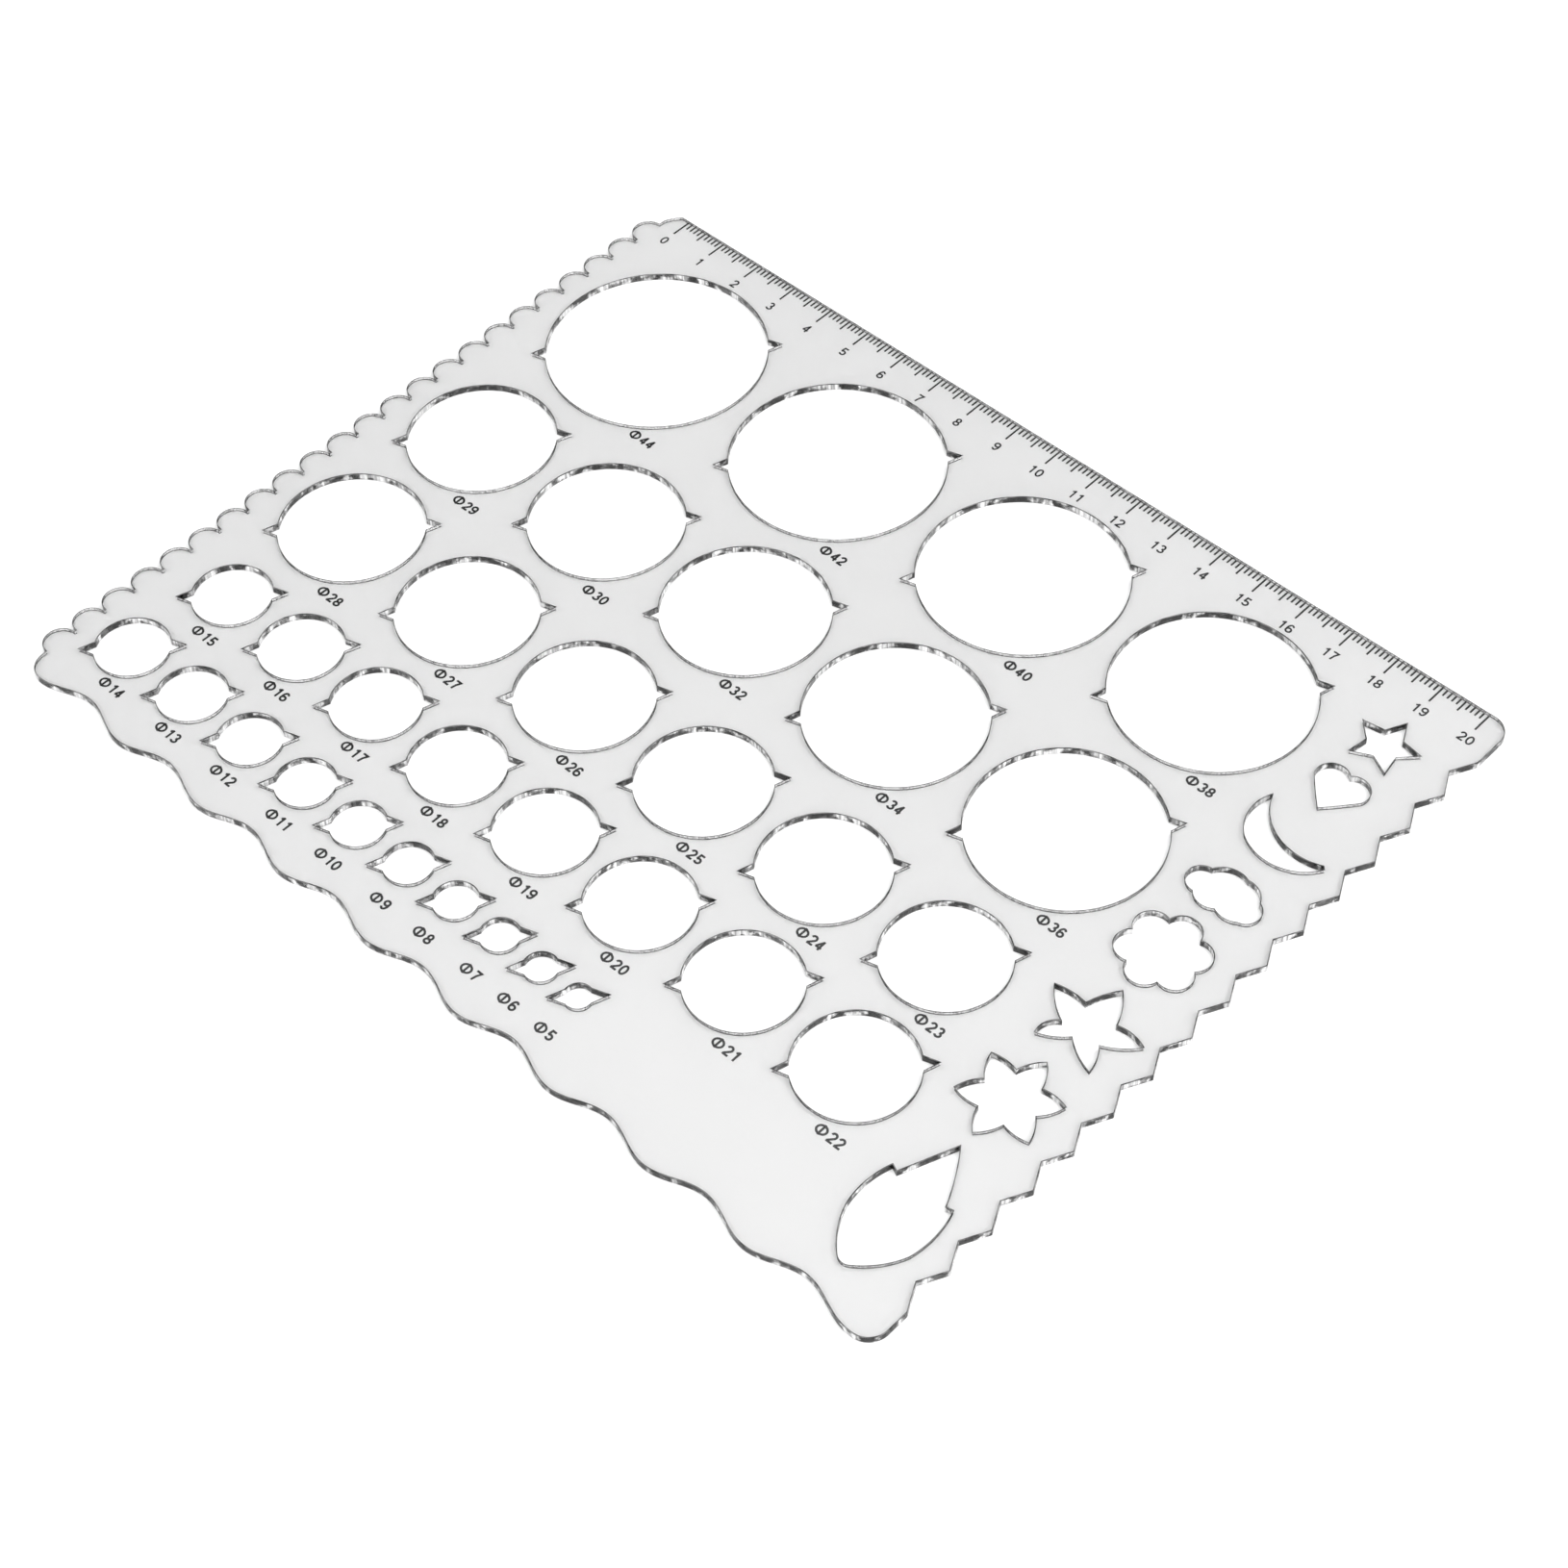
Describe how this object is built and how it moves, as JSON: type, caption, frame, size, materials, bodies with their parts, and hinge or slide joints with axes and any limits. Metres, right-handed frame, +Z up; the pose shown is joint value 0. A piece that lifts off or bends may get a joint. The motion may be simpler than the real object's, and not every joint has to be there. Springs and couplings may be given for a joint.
{
  "type": "circle template",
  "caption": "Flat clear drawing template: sized round holes with pencil notches, fancy cut-outs, decorative scalloped, wavy and toothed edges, and a straight 20 cm ruler edge.",
  "frame": {"origin": "middle of the plan outline at the rest plane, which is the lower face of the printing", "axes": "+X along the ruler from 0 to 20, +Y across the sheet towards the ruler edge, +Z up out of the readable face"},
  "size_m": [0.2123, 0.1696, 0.0015],
  "materials": {
    "clear_acrylic": "clear, polished faces with laser-cut edges",
    "black_ink": "matt printed film"
  },
  "bodies": {
    "root": {"template_sheet": "clear_acrylic", "ruler_graduations": "black_ink", "numeral_00": "black_ink", "numeral_01": "black_ink", "numeral_02": "black_ink", "numeral_03": "black_ink", "numeral_04": "black_ink", "numeral_05": "black_ink", "numeral_06": "black_ink", "numeral_07": "black_ink", "numeral_08": "black_ink", "numeral_09": "black_ink", "numeral_10": "black_ink", "numeral_11": "black_ink", "numeral_12": "black_ink", "numeral_13": "black_ink", "numeral_14": "black_ink", "numeral_15": "black_ink", "numeral_16": "black_ink", "numeral_17": "black_ink", "numeral_18": "black_ink", "numeral_19": "black_ink", "numeral_20": "black_ink", "label_d05": "black_ink", "label_d06": "black_ink", "label_d07": "black_ink", "label_d08": "black_ink", "label_d09": "black_ink", "label_d10": "black_ink", "label_d11": "black_ink", "label_d12": "black_ink", "label_d13": "black_ink", "label_d14": "black_ink", "label_d15": "black_ink", "label_d16": "black_ink", "label_d17": "black_ink", "label_d18": "black_ink", "label_d19": "black_ink", "label_d20": "black_ink", "label_d21": "black_ink", "label_d22": "black_ink", "label_d23": "black_ink", "label_d24": "black_ink", "label_d25": "black_ink", "label_d26": "black_ink", "label_d27": "black_ink", "label_d28": "black_ink", "label_d29": "black_ink", "label_d30": "black_ink", "label_d32": "black_ink", "label_d34": "black_ink", "label_d36": "black_ink", "label_d38": "black_ink", "label_d40": "black_ink", "label_d42": "black_ink", "label_d44": "black_ink"}
  },
  "joints": []
}
